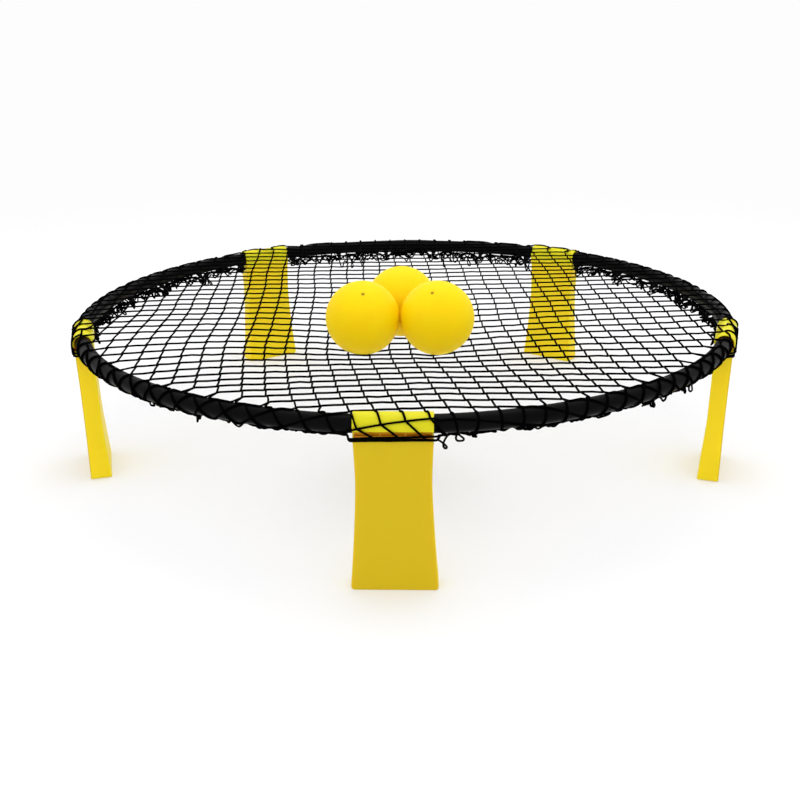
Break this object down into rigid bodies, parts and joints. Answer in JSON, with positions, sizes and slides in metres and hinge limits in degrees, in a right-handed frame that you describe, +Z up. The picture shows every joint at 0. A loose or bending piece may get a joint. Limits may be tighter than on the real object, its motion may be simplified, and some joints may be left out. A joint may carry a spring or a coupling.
{
  "type": "roundnet set",
  "caption": "Low round net on a black tube rim with folding wide yellow plastic legs, and yellow balls resting on the net.",
  "frame": {"origin": "on the floor under the centre of the rim", "axes": "+Z up; the leg nearest the camera in the picture is on the -Y side"},
  "size_m": [0.914, 0.9159, 0.2752],
  "materials": {
    "leg_plastic": "satin",
    "rim_plastic": "satin",
    "net_cord": "matte",
    "ball_rubber": "satin",
    "valve_rubber": "matte"
  },
  "bodies": {
    "rim": {"rim_tube_1": "rim_plastic", "rim_tube_2": "rim_plastic", "rim_tube_3": "rim_plastic", "rim_tube_4": "rim_plastic", "rim_tube_5": "rim_plastic", "rim_spigot_1": "rim_plastic", "rim_spigot_2": "rim_plastic", "rim_spigot_3": "rim_plastic", "rim_spigot_4": "rim_plastic", "rim_spigot_5": "rim_plastic", "net": "net_cord"},
    "leg_1": {"leg_1": "leg_plastic"},
    "leg_2": {"leg_2": "leg_plastic"},
    "leg_3": {"leg_3": "leg_plastic"},
    "leg_4": {"leg_4": "leg_plastic"},
    "leg_5": {"leg_5": "leg_plastic"},
    "ball_1": {"ball_1_skin": "ball_rubber", "ball_1_valve": "valve_rubber"},
    "ball_2": {"ball_2_skin": "ball_rubber", "ball_2_valve": "valve_rubber"},
    "ball_3": {"ball_3_skin": "ball_rubber", "ball_3_valve": "valve_rubber"}
  },
  "joints": [
    {"name": "leg_1_fold", "type": "hinge", "parent": "rim", "child": "leg_1", "pos_m": [0, -0.44603, 0.189], "axis": [1, 0, 0], "range_deg": [0, 80]},
    {"name": "leg_2_fold", "type": "hinge", "parent": "rim", "child": "leg_2", "pos_m": [0.4242, -0.13783, 0.189], "axis": [0.309, 0.9511, 0], "range_deg": [0, 80]},
    {"name": "leg_3_fold", "type": "hinge", "parent": "rim", "child": "leg_3", "pos_m": [0.26217, 0.36085, 0.189], "axis": [-0.809, 0.5878, 0], "range_deg": [0, 80]},
    {"name": "leg_4_fold", "type": "hinge", "parent": "rim", "child": "leg_4", "pos_m": [-0.26217, 0.36085, 0.189], "axis": [-0.809, -0.5878, 0], "range_deg": [0, 80]},
    {"name": "leg_5_fold", "type": "hinge", "parent": "rim", "child": "leg_5", "pos_m": [-0.4242, -0.13783, 0.189], "axis": [0.309, -0.9511, 0], "range_deg": [0, 80]},
    {"name": "ball_1_lift", "type": "slide", "parent": "rim", "child": "ball_1", "axis": [0, 0, 1], "range_m": [0, 0.3]},
    {"name": "ball_2_lift", "type": "slide", "parent": "rim", "child": "ball_2", "axis": [0, 0, 1], "range_m": [0, 0.3]},
    {"name": "ball_3_lift", "type": "slide", "parent": "rim", "child": "ball_3", "axis": [0, 0, 1], "range_m": [0, 0.3]}
  ]
}
